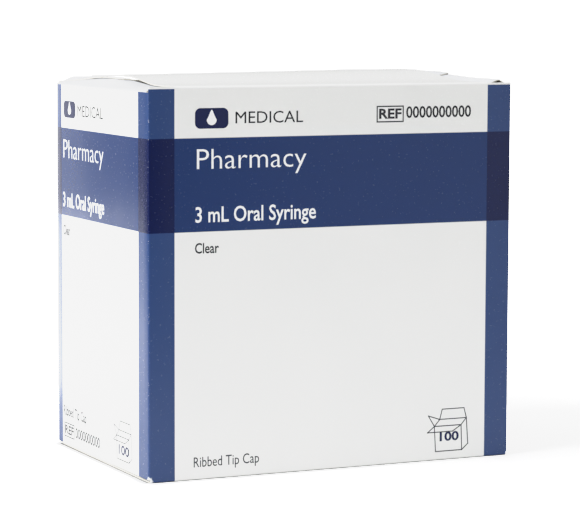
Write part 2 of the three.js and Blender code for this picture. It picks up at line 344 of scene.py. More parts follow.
def addPrint(shader, place, white):
    axes = addNode(shader, "SeparateXYZ", {}, {0: place}).outputs
    alongX = addNode(shader, "Math", {"operation": "ABSOLUTE"}, {0: axes["X"]}).outputs[0]
    alongY = addNode(shader, "Math", {"operation": "ABSOLUTE"}, {0: axes["Y"]}).outputs[0]
    edges = {
        # mask: (coordinate, where it starts, which way it grows)
        "side": (alongX, printPlan["stripeFrom"], 1),
        "near": (axes["Y"], printPlan["nearStripe"], -1),
        "far": (axes["Y"], printPlan["farStripe"], 1),
        "overBandFoot": (axes["Z"], printPlan["bandBottom"], 1),
        "underBandHead": (axes["Z"], printPlan["bandTop"], -1),
        "underTop": (axes["Z"], printPlan["printTop"], -1),
        "foldX": (alongX, outerHalfWidth - wearPlan["foldWidth"], 1),
        "foldY": (alongY, outerHalfDepth - wearPlan["foldWidth"], 1),
    }
    mask = {}
    for name, (coordinate, start, way) in edges.items():
        soft = printPlan["inkSoftness"] * way
        mask[name] = addNode(shader, "MapRange", {"interpolation_type": "SMOOTHSTEP"}, {
            "Value": coordinate,
            "From Min": (start - soft) * metresPerMm,
            "From Max": (start + soft) * metresPerMm}).outputs[0]
    products = {
        # mask: (two masks, how they join)
        "ends": ("near", "far", "MAXIMUM"),
        "corner": ("side", "ends", "MULTIPLY"),
        "stripe": ("corner", "underTop", "MULTIPLY"),
        "band": ("overBandFoot", "underBandHead", "MULTIPLY"),
        "fold": ("foldX", "foldY", "MULTIPLY"),
    }
    for name, (first, second, operation) in products.items():
        joined = addNode(shader, "Math", {"operation": operation}, {0: mask[first], 1: mask[second]})
        mask[name] = joined.outputs[0]
    striped = addNode(shader, "Mix", {"data_type": "RGBA"}, {
        0: mask["stripe"], 6: white, 7: linear(printPlan["stripeInk"])})
    bandInk = addNode(shader, "Mix", {"data_type": "RGBA"}, {
        0: mask["stripe"], 6: linear(printPlan["bandInk"]), 7: linear(printPlan["doubleInk"])})
    banded = addNode(shader, "Mix", {"data_type": "RGBA"}, {
        0: mask["band"], 6: striped.outputs[2], 7: bandInk.outputs[2]})
    # The ink cracks in specks along the folds, and a knock has bared the board at the near bottom corner.
    specks = addNode(shader, "TexNoise", {}, {
        "Vector": place, "Scale": perMm(wearPlan["speckSize"]), "Detail": 5.0, "Roughness": 0.7})
    cracked = addNode(shader, "MapRange", {"interpolation_type": "SMOOTHSTEP"}, {
        "Value": specks.outputs[0], "From Min": 0.6, "From Max": 0.68, "To Max": wearPlan["speckShare"]})
    worn = addNode(shader, "Math", {"operation": "MULTIPLY"}, {0: mask["fold"], 1: cracked.outputs[0]})
    knock = addNode(shader, "VectorMath", {"operation": "DISTANCE"}, {0: place, 1: knockPlace})
    ragged = addNode(shader, "Math", {"operation": "MULTIPLY_ADD"}, {
        0: specks.outputs[0], 1: wearPlan["knockRagged"] * metresPerMm, 2: knock.outputs["Value"]})
    bare = addNode(shader, "MapRange", {}, {
        "Value": ragged.outputs[0],
        "From Min": (wearPlan["knockSize"] + wearPlan["knockEdge"]) * metresPerMm,
        "From Max": wearPlan["knockSize"] * metresPerMm})
    chipped = addNode(shader, "Math", {"operation": "MAXIMUM"}, {0: worn.outputs[0], 1: bare.outputs[0]})
    return addNode(shader, "Mix", {"data_type": "RGBA"}, {
        0: chipped.outputs[0], 6: banded.outputs[2], 7: linear(printPlan["bareBoard"])}).outputs[2]


def bareCoatedBoard():
    # The same clay-coated board without varnish, on the flaps that another covers: quite matt, and its grey
    # colour is painted shade, standing in for the shade these flaps lie in under the lid's raised edges.
    material, shader, place = startMaterial("unvarnished_board_grey_painted_shade", 0.7, 1.4)
    cloud = addNode(shader, "TexNoise", {}, {"Vector": place, "Scale": perMm(12), "Detail": 3.0})
    colour = addNode(shader, "Mix", {"data_type": "RGBA"}, {
        0: cloud.outputs[0], 6: linear(boardLook["bare"]), 7: linear(boardLook["bareShade"])})
    connect(shader, colour.outputs[2], "Base Color")
    grain = addNode(shader, "TexNoise", {}, {"Vector": place, "Scale": perMm(0.8), "Detail": 3.0})
    surface = addNode(shader, "Bump", {}, {
        "Height": grain.outputs[0], "Distance": 0.00002, "Strength": 0.4})
    connect(shader, surface.outputs[0], "Normal")
    return material


def uncoatedBoard(name, light, dark):
    # The carton's uncoated side and its cut edges: matt, slightly cream, with loose fibres and grey specks.
    material, shader, place = startMaterial(name, 0.85)
    fibres = addNode(shader, "TexNoise", {}, {
        "Vector": place, "Scale": perMm(0.7), "Detail": 6.0, "Roughness": 0.7})
    share = addNode(shader, "MapRange", {}, {
        "Value": fibres.outputs[0], "From Min": 0.42, "From Max": 0.72})
    colour = addNode(shader, "Mix", {"data_type": "RGBA"}, {
        0: share.outputs[0], 6: linear(light), 7: linear(dark)})
    connect(shader, colour.outputs[2], "Base Color")
    rough = addNode(shader, "Bump", {}, {
        "Height": fibres.outputs[0], "Distance": 0.00006, "Strength": 0.6})
    connect(shader, rough.outputs[0], "Normal")
    return material


frontLow, frontHigh = nodeBox("front_panel")
outerHalfWidth = frontHigh.x - skin
outerHalfDepth = -frontLow.y - skin
knockPlace = (-(outerHalfWidth - 0.3) * metresPerMm, -(outerHalfDepth - 0.1) * metresPerMm, 0.0009)

printedBoard = varnishedBoard("gloss_varnished_printed_board", True)
plainBoard = varnishedBoard("gloss_varnished_white_board", False)
rawBoard = uncoatedBoard("uncoated_board_inside", boardLook["raw"], boardLook["rawShade"])
cutBoard = uncoatedBoard("die_cut_board_edge", boardLook["cut"], boardLook["rawShade"])
wallBoards = [printedBoard, rawBoard, cutBoard]
flapBoards = [plainBoard, rawBoard, cutBoard]
# The flaps under the lid get the grey board, whose colour is painted shade
paintedShadeFlapBoards = [bareCoatedBoard(), rawBoard, cutBoard]


wallPlan = {
    "board": 0.5,
    "foldRadius": 0.8,
    "foldSteps": 4,
    "footFold": 1.3,  # the base flaps' creases take this much of a wall's foot
    "headFold": 0.85,  # and a top flap's crease this much below its level
    "cornerTop": 152.8,  # the front wall stands this high beside the lid
    "bow": 0.2,  # how far a wall sinks in at its middle
    "columns": 22,
    "rows": 34,
}

faces = {
    # wall: (turn about Z from the front face, outer half span, distance out from the middle)
    "front": (0, outerHalfWidth, outerHalfDepth),
    "left": (-90, outerHalfDepth, outerHalfWidth),
    "right": (90, outerHalfDepth, outerHalfWidth),
    "back": (180, outerHalfWidth, outerHalfDepth),
}

lidLow, lidHigh = nodeBox("lid_flap")
lidTop = lidLow.z + wallPlan["board"] - skin
innerTop = nodeBox("inner_top_flap")[1].z - skin
dustTop = innerTop - 0.55  # just under the inner flap
wallTops = {"front": lidTop, "back": innerTop, "left": dustTop, "right": dustTop}


def wallSink(along, height):  # along runs from -1 to 1 across a face
    return wallPlan["bow"] * (1 - along * along) * math.sin(math.pi * clamp(height / lidTop))


def turnToFace(face):
    return Matrix.Rotation(math.radians(faces[face][0]), 4, "Z")


def wallSheet(face):
    _, halfSpan, distance = faces[face]
    radius = wallPlan["foldRadius"]
    flat = halfSpan - radius
    low = wallPlan["footFold"]
    high = wallTops[face] - wallPlan["headFold"]
    bm = bmesh.new()
    bmesh.ops.create_grid(bm, x_segments=wallPlan["columns"], y_segments=wallPlan["rows"], size=0.5)
    for vert in bm.verts:
        along = vert.co.x * 2
        height = low + (vert.co.y + 0.5) * (high - low)
        vert.co = (along * flat, wallSink(along, height) - distance, height)
    for side in (-1, 1):
        rim = [edge for edge in bm.edges if all(v.co.x * side > flat - 0.001 for v in edge.verts)]
        verts = list({v for edge in rim for v in edge.verts})
        bmesh.ops.spin(bm, geom=verts + rim, cent=(side * flat, radius - distance, 0), axis=(0, 0, 1),
                       angle=side * math.radians(45), steps=wallPlan["foldSteps"], use_merge=False)
    bmesh.ops.remove_doubles(bm, verts=bm.verts, dist=0.001)
    return bm


def raiseCorners(bm):  # the front wall's two corners stand up beside the lid
    inset = lidHigh.x
    high = lidTop - wallPlan["headFold"]
    for side in (-1, 1):
        everything = bm.verts[:] + bm.edges[:] + bm.faces[:]
        bmesh.ops.bisect_plane(bm, geom=everything, plane_co=(side * inset, 0, 0), plane_no=(1, 0, 0))
    top = [edge for edge in bm.edges
           if all(v.co.z > high - 0.001 and abs(v.co.x) > inset - 0.001 for v in edge.verts)]
    raised = bmesh.ops.extrude_edge_only(bm, edges=top)["geom"]
    bmesh.ops.translate(bm, vec=(0, 0, wallPlan["cornerTop"] - high), verts=vertsOf(raised))


for face in faces:
    bm = wallSheet(face)
    if face == "front":
        raiseCorners(bm)
    faceTowards(bm, Vector((0, -1, 0)))
    bmesh.ops.transform(bm, matrix=turnToFace(face), verts=bm.verts)
    wall = makePiece(face + "_wall", bm, wallBoards)
    giveThickness(wall, wallPlan["board"])
    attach(wall, "carton")
    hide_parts(face + "_panel")
print("walls folded")


lidPlan = {
    "cornerRadius": 9,
    "sideTaper": 1.5,
    # The bow over the closed top, each as (left side, right side)
    "crown": (2.6, 3.55),
    "bowStart": (18, 20),  # distances from the crease to where it starts, peaks and falls again
    "bowPeak": (50, 62),
    "fallStart": (56, 70),
    "fall": (0.5, 0.26),  # share of the crown that the free edge loses
}

dustPlan = {
    "frontTaper": 15.5,
    "backTaper": 33,
    "frontStep": 1.5,
    "stepAt": 11,  # the lid's side lies this far from the wall
    "cornerRadius": 2.5,
    # The board's roll beside the crease: height at the front, share of the lid's bow added to it, and
    # how far from the front the roll starts to reach under the lid's side
    "bulge": {"left": (0.75, 0.8, -25), "right": (2.6, 0.3, 24)},
    "rollRise": 3.4,  # the roll climbs over this distance from the crease
    "fallStart": (4, 7),  # and falls again from here, as (narrow, wide)
    "fallLength": (7.5, 16),
    "widening": 25,  # distance over which the roll goes from narrow to wide
    "backEase": 6,
}

innerPlan = {"sideTaper": 4, "lift": 0.12, "cornerRadius": 3}
basePlan = {"taper": 0.4, "dustTaper": 6}


def creasedFlap(name, hinge, level, reach, outline, lift=None, upward=1, detail=(24, 20),
                boards=flapBoards):
    # Made lying inwards from a crease along X: Y runs into the carton, Z out of it.
    radius = wallPlan["foldRadius"]
    bm = bmesh.new()
    bmesh.ops.create_grid(bm, x_segments=detail[0], y_segments=detail[1], size=0.5)
    for vert in bm.verts:
        share = vert.co.x + 0.5
        away = vert.co.y + 0.5
        distance = radius + (reach - radius) * math.sin(away * math.pi / 2)
        low, high = outline(distance)
        raised = lift(vert.co.x * 2, distance, low + (high - low) * share) if lift else 0
        vert.co = (low + (high - low) * share, distance, raised)
    crease = [edge for edge in bm.edges if all(v.co.y < radius + 0.001 for v in edge.verts)]
    verts = list({v for edge in crease for v in edge.verts})
    curl = bmesh.ops.spin(bm, geom=verts + crease, cent=(0, radius, -radius), axis=(1, 0, 0),
                          angle=math.radians(90), steps=6, use_merge=False)
    last = [item for item in curl["geom_last"] if isinstance(item, bmesh.types.BMEdge)]
    root = wallPlan["headFold"] if upward > 0 else wallPlan["footFold"]
    foot = bmesh.ops.extrude_edge_only(bm, edges=last)["geom"]
    bmesh.ops.translate(bm, vec=(0, 0, radius - root), verts=vertsOf(foot))
    bmesh.ops.remove_doubles(bm, verts=bm.verts, dist=0.001)
    faceTowards(bm, Vector((0, 0, 1)))
    flip = Matrix.Rotation(0 if upward > 0 else math.pi, 4, "Y")
    place = turnToFace(hinge) @ Matrix.Translation((0, -faces[hinge][2], level)) @ flip
    bmesh.ops.transform(bm, matrix=place, verts=bm.verts)
    flap = makePiece(name, bm, boards)
    giveThickness(flap, wallPlan["board"])
    bend = [place @ Vector(point) * metresPerMm for point in ((0, 0, -radius), (0, radius, 0))]
    return flap, bend


def sideBulge(side, fromFront, fromWall):  # the closed flaps' roll between a side wall and the lid
    base, share, widens = dustPlan["bulge"][side]
    crest = base + share * lidLift(-1 if side == "left" else 1, fromFront, 0)
    wide = ease((fromFront - widens) / dustPlan["widening"])
    start, length = (narrow + (full - narrow) * wide
                     for narrow, full in (dustPlan["fallStart"], dustPlan["fallLength"]))
    crease = wallPlan["foldRadius"]
    roll = ease((fromWall - crease) / dustPlan["rollRise"]) * (1 - ease((fromWall - start) / length))
    return crest * roll * ease((2 * outerHalfDepth - fromFront - crease) / dustPlan["backEase"])


def roundedEnd(distance, reach, radius):  # how far a round corner has pulled a side in
    into = clamp((distance - (reach - radius)) / radius)
    return radius * (1 - math.sqrt(1 - into * into))


lidReach = lidHigh.y + outerHalfDepth


def lidOutline(distance):
    side = lidHigh.x - lidPlan["sideTaper"] * distance / lidReach
    side -= roundedEnd(distance, lidReach, lidPlan["cornerRadius"])
    return -side, side


def lidLift(across, distance, _):
    crown, start, peak, descent, loss = (
        left + (right - left) * (across + 1) / 2
        for left, right in (lidPlan[key] for key in ("crown", "bowStart", "bowPeak", "fallStart", "fall")))
    rise = ease((distance - start) / (peak - start))
    return crown * rise * (1 - loss * ease((distance - descent) / (lidReach - descent)))


lid, bend = creasedFlap("lid", "front", lidTop, lidReach, lidOutline, lidLift, detail=(36, 40))
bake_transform(lid)
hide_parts("lid_flap")

innerLow, innerHigh = nodeBox("inner_top_flap")
innerReach = outerHalfDepth - innerLow.y


def innerOutline(distance):
    side = innerHigh.x - innerPlan["sideTaper"] * distance / innerReach
    side -= roundedEnd(distance, innerReach, innerPlan["cornerRadius"])
    return -side, side


def innerLift(across, distance, along):
    side = "left" if along > 0 else "right"
    bulge = sideBulge(side, 2 * outerHalfDepth - distance, outerHalfWidth - abs(along))
    return bulge + innerPlan["lift"] * ease(distance / innerReach) * across * across


innerFlap, bend = creasedFlap("inner_flap", "back", innerTop, innerReach, innerOutline, innerLift,
                              detail=(60, 24), boards=paintedShadeFlapBoards)
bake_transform(innerFlap)
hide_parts("inner_top_flap")

dustHigh = nodeBox("top_dust_flap_left")[1]
dustReach = dustHigh.x + outerHalfWidth


def dustEdges(distance):  # how far the front and back edges lie from the middle
    straight = dustPlan["frontStep"] * clamp(distance / dustPlan["stepAt"])
    sloped = clamp((distance - dustPlan["stepAt"]) / (dustReach - dustPlan["stepAt"]))
    front = dustHigh.y - straight - (dustPlan["frontTaper"] - dustPlan["frontStep"]) * sloped
    back = dustHigh.y - dustPlan["backTaper"] * distance / dustReach
    tip = roundedEnd(distance, dustReach, dustPlan["cornerRadius"])
    return front - tip, back - tip


def addDustFlap(side, towardsFront):  # towardsFront: which way along its crease the front lies
    def outline(distance):
        front, back = dustEdges(distance)
        return (-back, front) if towardsFront > 0 else (-front, back)

    def lift(_, distance, along):
        return sideBulge(side, outerHalfDepth - along * towardsFront, distance)

    body = "dust_flap_" + side
    flap, bend = creasedFlap(body, side, dustTop, dustReach, outline, lift,
                             detail=(32, 36), boards=paintedShadeFlapBoards)
    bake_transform(flap)
    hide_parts("top_dust_flap_" + side)


addDustFlap("left", 1)
addDustFlap("right", -1)
print("top flaps creased")


def addBaseFlap(name, hinge, node):
    low, high = nodeBox(node)
    if hinge in ("front", "back"):
        reach = high.y - low.y - skin
        halfSpan = high.x
        taper = basePlan["taper"]
    else:
        reach = high.x - low.x - skin
        halfSpan = high.y
        taper = basePlan["dustTaper"]

    def outline(distance):
        side = halfSpan - taper * distance / reach
        return -side, side

    flap, _ = creasedFlap(name, hinge, low.z + skin, reach, outline, upward=-1, detail=(12, 8),
                          boards=wallBoards)
    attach(flap, "carton")
    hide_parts(node)


addBaseFlap("base_outer_flap", "front", "bottom_outer_flap")
addBaseFlap("base_inner_flap", "back", "bottom_inner_flap")
addBaseFlap("base_dust_flap_left", "left", "bottom_dust_flap_left")
addBaseFlap("base_dust_flap_right", "right", "bottom_dust_flap_right")

seamPlan = {"slant": 3, "slantPower": 9}  # the tab's ends are cut back by this much, mm, and how abruptly
seamLow, seamHigh = nodeBox("glue_seam_flap")
bm = bmesh.new()
bmesh.ops.create_grid(bm, x_segments=6, y_segments=24, size=0.5)
for vert in bm.verts:
    along = vert.co.x + 0.5
    height = seamLow.z + (vert.co.y + 0.5) * (seamHigh.z - seamLow.z)
    lean = (1 - along) * seamPlan["slant"] * (2 * vert.co.y) ** seamPlan["slantPower"]
    vert.co = (seamLow.y + along * (seamHigh.y - seamLow.y), -seamHigh.x, height - lean)
faceTowards(bm, Vector((0, 1, 0)))
bmesh.ops.transform(bm, matrix=Matrix.Rotation(math.radians(90), 4, "Z"), verts=bm.verts)
seam = makePiece("glue_seam", bm, [rawBoard, cutBoard, cutBoard])
giveThickness(seam, wallPlan["board"] - skin)
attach(seam, "carton")
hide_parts("glue_seam_flap")
print("base and seam closed")


inkPlan = {
    "proud": 0.015,  # each ink film stands this far off the varnish, mm
    "film": 0.012,
    "plateRadius": 2.2,
    "dropFoot": 1.3,
    "dropShare": 0.26,  # the drop's radius, of the plate's height
    "boxLine": 0.5,
    "symbolLine": 0.42,
    "darkGrey": "#26272C",
    "lightGrey": "#3E3F44",
    "navy": "#101A45",
    "reversed": "#EDEEF0",
    "thinInk": 1.12,  # how much lighter the ink is where it lies thin
}


def inkMaterial(name, colour):
    # Offset ink under varnish: as smooth as the board it lies on.
    material, shader, place = startMaterial(name, boardLook["varnishRoughness"], boardLook["varnishIor"])
    cloud = addNode(shader, "TexNoise", {}, {"Vector": place, "Scale": perMm(0.8), "Detail": 3.0})
    thin = [channel * inkPlan["thinInk"] for channel in linear(colour)[:3]] + [1]
    density = addNode(shader, "Mix", {"data_type": "RGBA"}, {
        0: cloud.outputs[0], 6: linear(colour), 7: thin})
    connect(shader, density.outputs[2], "Base Color")
    return material


inkNames = ("darkGrey", "lightGrey", "navy", "reversed")
inks = {name: inkMaterial("offset_ink_" + name, inkPlan[name]) for name in inkNames}
capUnit = 0.682  # height of a capital in the built-in face at size 1


def layInk(name, bm, face, ink):  # lays flat shapes, drawn with X across a wall and Y up it, onto it
    _, halfSpan, distance = faces[face]
    film = bmesh.ops.extrude_face_region(bm, geom=bm.faces[:])["geom"]
    bmesh.ops.translate(bm, vec=(0, 0, inkPlan["film"]), verts=vertsOf(film))
    bmesh.ops.recalc_face_normals(bm, faces=bm.faces)
    for vert in bm.verts:
        sink = wallSink(vert.co.x / halfSpan, vert.co.y)
        vert.co = (vert.co.x, sink - distance - inkPlan["proud"] - vert.co.z, vert.co.y)
    bmesh.ops.transform(bm, matrix=turnToFace(face), verts=bm.verts)
    label = makePiece(name, bm, [inks[ink]])
    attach(label, "carton")


def wordShapes(words, left, right, baseline, capHeight, weight):
    font = bpy.data.curves.new(words, "FONT")
    font.body = words
    font.offset = weight
    font.resolution_u = 3
    letters = bpy.data.objects.new(words, font)
    bpy.context.scene.collection.objects.link(letters)
    mesh = bpy.data.meshes.new_from_object(letters.evaluated_get(bpy.context.evaluated_depsgraph_get()))
    bpy.data.objects.remove(letters)
    bm = bmesh.new()
    bm.from_mesh(mesh)
    bpy.data.meshes.remove(mesh)
    bmesh.ops.remove_doubles(bm, verts=bm.verts, dist=0.0001)
    starts = min(v.co.x for v in bm.verts)
    width = max(v.co.x for v in bm.verts) - starts
    bmesh.ops.translate(bm, vec=(-starts, 0, 0), verts=bm.verts)
    bmesh.ops.scale(bm, vec=((right - left) / width, capHeight / capUnit, 1), verts=bm.verts)
    bmesh.ops.translate(bm, vec=(left, baseline, 0), verts=bm.verts)
    return bm


def plateShape(bm, left, right, low, high, radius=0, rim=0):
    made = bmesh.ops.create_grid(bm, x_segments=1, y_segments=1, size=0.5)["verts"]
    bmesh.ops.scale(bm, vec=(right - left, high - low, 1), verts=made)
    bmesh.ops.translate(bm, vec=((left + right) / 2, (low + high) / 2, 0), verts=made)
    if radius:
        bmesh.ops.bevel(bm, geom=made, offset=radius, segments=6, affect="VERTICES", profile=0.5,
                        material=-1)
    if rim:
        plate = bm.faces[:]
        bmesh.ops.inset_region(bm, faces=plate, thickness=rim, use_even_offset=True, use_boundary=True)
        bmesh.ops.delete(bm, geom=plate, context="FACES_ONLY")


def barShape(bm, start, end, width):  # one ruled line with square ends
    line = Vector(end) - Vector(start)
    made = bmesh.ops.create_grid(bm, x_segments=1, y_segments=1, size=0.5)["verts"]
    bmesh.ops.scale(bm, vec=(line.length + width, width, 1), verts=made)
    turn = Matrix.Rotation(math.atan2(line.y, line.x), 4, "Z")
    middle = (Vector(start) + Vector(end)) / 2
    bmesh.ops.transform(bm, matrix=Matrix.Translation((middle.x, middle.y, 0)) @ turn, verts=made)


# Each word: left end, right end, baseline, capital height, weight and ink, in mm on its face
frontWords = {
    "maker_word": ("MEDICAL", -42.9, -14.0, 138.4, 4.5, 0, "darkGrey"),
    "code_word": ("REF", 19.3, 29.3, 139.2, 3.7, 0.03, "darkGrey"),
    "code_number": ("0000000000", 31.4, 60.8, 139.3, 4.4, 0.018, "darkGrey"),
    "range_word": ("Pharmacy", -59.1, -12.5, 121.0, 7.8, -0.008, "reversed"),
    "product_word": ("3 mL Oral Syringe", -59.7, -8.2, 100.5, 5.8, 0.012, "reversed"),
    "grade_word": ("Clear", -59.9, -49.8, 88.5, 3.9, 0.014, "darkGrey"),
    "cap_word": ("Ribbed Tip Cap", -60.5, -32.6, 5.0, 3.9, 0.004, "lightGrey"),
    "count_number": ("100", 47.8, 56.6, 7.8, 3.5, 0.03, "navy"),
}

sideWords = {
    "maker_word": ("MEDICAL", -26.0, 2.8, 138.4, 4.5, 0, "darkGrey"),
    "range_word": ("Pharmacy", -42.7, 3.0, 120.5, 7.8, -0.012, "reversed"),
    "product_word": ("3 mL Oral Syringe", -43.4, 3.5, 100.5, 5.8, 0.012, "reversed"),
    "grade_word": ("Clear", -43.5, -35.1, 88.8, 3.9, 0.035, "darkGrey"),
    "cap_word": ("Ribbed Tip Cap", -43.8, -17.2, 13.2, 4.1, 0.02, "darkGrey"),
    "code_word": ("REF", -42.3, -32.1, 5.6, 3.5, 0.03, "darkGrey"),
    "code_number": ("0000000000", -30.0, -1.8, 5.3, 4.2, 0.02, "darkGrey"),
    "count_number": ("100", 18.8, 30.1, 6.8, 3.7, 0.03, "navy"),
}

# Left end, right end, foot and head of each mark on a face
frontMarks = {"mark": (-59.9, -45.9, 136.6, 144.5), "code_box": (18.2, 30.3, 137.6, 144.2),
              "carton_symbol": (42.2, 60.8, 3.6, 20.8)}
sideMarks = {"mark": (-42.1, -28.5, 137.3, 144.2), "code_box": (-43.2, -31.2, 4.2, 10.3),
             "carton_symbol": (13.3, 33.3, 4.6, 20.0)}

# An open carton in line, on a unit square: its strokes run between these points
symbolPoints = {
    "footLeft": (0.2, 0.0), "footRight": (0.85, 0.0), "rimLeft": (0.17, 0.6), "rimRight": (0.83, 0.6),
    "footBack": (1.0, 0.14), "rimBackRight": (0.96, 0.76), "rimBackLeft": (0.3, 0.76),
    "nearFlapLeft": (0.0, 0.46), "nearFlapRight": (0.62, 0.46), "sideFlapLeft": (0.02, 0.86),
    "backFlapLeft": (0.36, 1.0), "backFlapRight": (0.9, 1.0),
}
symbolStrokes = [
    ("footLeft", "footRight"), ("footLeft", "rimLeft"), ("footRight", "rimRight"), ("rimLeft", "rimRight"),
    ("footRight", "footBack"), ("footBack", "rimBackRight"), ("rimRight", "rimBackRight"),
    ("rimBackLeft", "rimBackRight"), ("rimLeft", "rimBackLeft"), ("rimLeft", "nearFlapLeft"),
    ("nearFlapLeft", "nearFlapRight"), ("nearFlapRight", "rimRight"), ("rimLeft", "sideFlapLeft"),
    ("sideFlapLeft", "rimBackLeft"), ("rimBackLeft", "backFlapLeft"), ("backFlapLeft", "backFlapRight"),
    ("backFlapRight", "rimBackRight"),
]


def dropShape(bm, middle, low, radius):  # a plain drop: a round foot drawn up to a point
    made = bmesh.ops.create_circle(bm, cap_ends=True, segments=32, radius=radius)["verts"]
    for vert in made:
        up = clamp(vert.co.y / radius)
        vert.co.x *= 1 - up * 0.45
        vert.co.y += up ** 3 * radius * 0.9
    bmesh.ops.translate(bm, vec=(middle, low + radius, 0), verts=made)


for face in faces:
    words, marks = (frontWords, frontMarks) if face in ("front", "back") else (sideWords, sideMarks)
    for name, (text, left, right, baseline, capHeight, weight, ink) in words.items():
        layInk(f"{face}_{name}", wordShapes(text, left, right, baseline, capHeight, weight), face, ink)
    left, right, low, high = marks["mark"]
    bm = bmesh.new()
    plateShape(bm, left, right, low, high, radius=inkPlan["plateRadius"])
    layInk(f"{face}_mark_plate", bm, face, "navy")
    bm = bmesh.new()
    dropShape(bm, (left + right) / 2, low + inkPlan["dropFoot"], (high - low) * inkPlan["dropShare"])
    bmesh.ops.translate(bm, vec=(0, 0, inkPlan["proud"]), verts=bm.verts)
    layInk(f"{face}_mark_drop", bm, face, "reversed")
    left, right, low, high = marks["code_box"]
    bm = bmesh.new()
    plateShape(bm, left, right, low, high, rim=inkPlan["boxLine"])
    layInk(f"{face}_code_box", bm, face, "darkGrey")
    left, right, low, high = marks["carton_symbol"]
    bm = bmesh.new()
    spot = {key: (left + u * (right - left), low + v * (high - low))
            for key, (u, v) in symbolPoints.items()}
    for start, end in symbolStrokes:
        barShape(bm, spot[start], spot[end], inkPlan["symbolLine"])
    layInk(f"{face}_carton_symbol", bm, face, "lightGrey")
print("print laid")


def clearPolypropylene():
    # Clarified polypropylene, injection moulded and polished: see-through with a faint milky haze.
    material, shader, place = startMaterial("clarified_polypropylene", 0.1, 1.49)
    haze = addNode(shader, "TexNoise", {}, {"Vector": place, "Scale": perMm(5), "Detail": 2.0})
    tint = addNode(shader, "Mix", {"data_type": "RGBA"}, {
        0: haze.outputs[0], 6: linear("#F4F8FA"), 7: linear("#E4ECF0")})
    connect(shader, tint.outputs[2], "Base Color")
    shader.inputs["Transmission Weight"].default_value = 0.4
    shader.inputs["Alpha"].default_value = 0.5
    ripple = addNode(shader, "Bump", {}, {"Height": haze.outputs[0], "Distance": 0.00005, "Strength": 0.3})
    connect(shader, ripple.outputs[0], "Normal")
    return material


def mouldedPlastic(name, light, dark, roughness, grain, bump):
    # Injection-moulded plastic: satin, with a faint cloudiness and the spark-eroded mould's fine grain.
    material, shader, place = startMaterial(name, roughness, 1.49)
    cloud = addNode(shader, "TexNoise", {}, {"Vector": place, "Scale": perMm(6), "Detail": 2.0})
    colour = addNode(shader, "Mix", {"data_type": "RGBA"}, {
        0: cloud.outputs[0], 6: linear(light), 7: linear(dark)})
    connect(shader, colour.outputs[2], "Base Color")
    pits = addNode(shader, "TexNoise", {}, {"Vector": place, "Scale": perMm(grain), "Detail": 3.0})
    surface = addNode(shader, "Bump", {}, {"Height": pits.outputs[0], "Distance": bump, "Strength": 0.5})
    connect(shader, surface.outputs[0], "Normal")
    return material


finishes = {
    "barrel": clearPolypropylene(),
    "rod": mouldedPlastic("moulded_white_polypropylene", "#F3F4F2", "#E6E8E8", 0.34, 0.5, 0.00002),
    "seal": mouldedPlastic("moulded_butyl_rubber", "#2B2C2F", "#1D1E20", 0.62, 0.3, 0.00003),
    "cap": mouldedPlastic("moulded_white_polyethylene", "#F5F6F5", "#E9ECEE", 0.42, 0.6, 0.00002),
    "scale": mouldedPlastic("pad_printed_black_ink", "#141518", "#1F2024", 0.4, 0.4, 0.00001),
}


# Each syringe piece is made along +X, measured from the thumb disc's outer face
syringePlan = {
    "barrelRadius": 5.1,
    "boreRadius": 4.35,
    "flangeStart": 9.0,
    "flangeEnd": 10.8,
    "flangeHalfHeight": 5.95,
    "flangeHalfWidth": 9.65,
    "shoulder": 75,
    "tipEnd": 85,
    "lumen": 0.9,
    "sealFront": 73.4,
    "millilitre": 17.0,  # stroke for one millilitre
    "capStart": 75.5,
    "capEnd": 87.95,
    "capRibs": 12,
    "capRibDepth": 0.5,
    "topSteps": 48,
    "rowSteps": 16,
    "rowCapSteps": 24,  # two for each rib
}


def revolve(profile, steps):  # turns [station, radius] points about X; an open profile ends on the axis
    bm = bmesh.new()
    ring = [bm.verts.new((station, radius, 0)) for station, radius in profile]
    edges = [bm.edges.new(pair) for pair in zip(ring, ring[1:])]
    if profile[0][1] > 0:
        edges.append(bm.edges.new((ring[-1], ring[0])))
    bmesh.ops.spin(bm, geom=ring + edges, cent=(0, 0, 0), axis=(1, 0, 0), angle=2 * math.pi, steps=steps,
                   use_merge=True)
    bmesh.ops.remove_doubles(bm, verts=bm.verts, dist=0.001)
    bmesh.ops.recalc_face_normals(bm, faces=bm.faces)
    return bm


def joinShapes(shapes):  # several closed shells in one mesh
    whole = bmesh.new()
    for shape in shapes:
        part = bpy.data.meshes.new("part")
        shape.to_mesh(part)
        shape.free()
        whole.from_mesh(part)
        bpy.data.meshes.remove(part)
    return whole


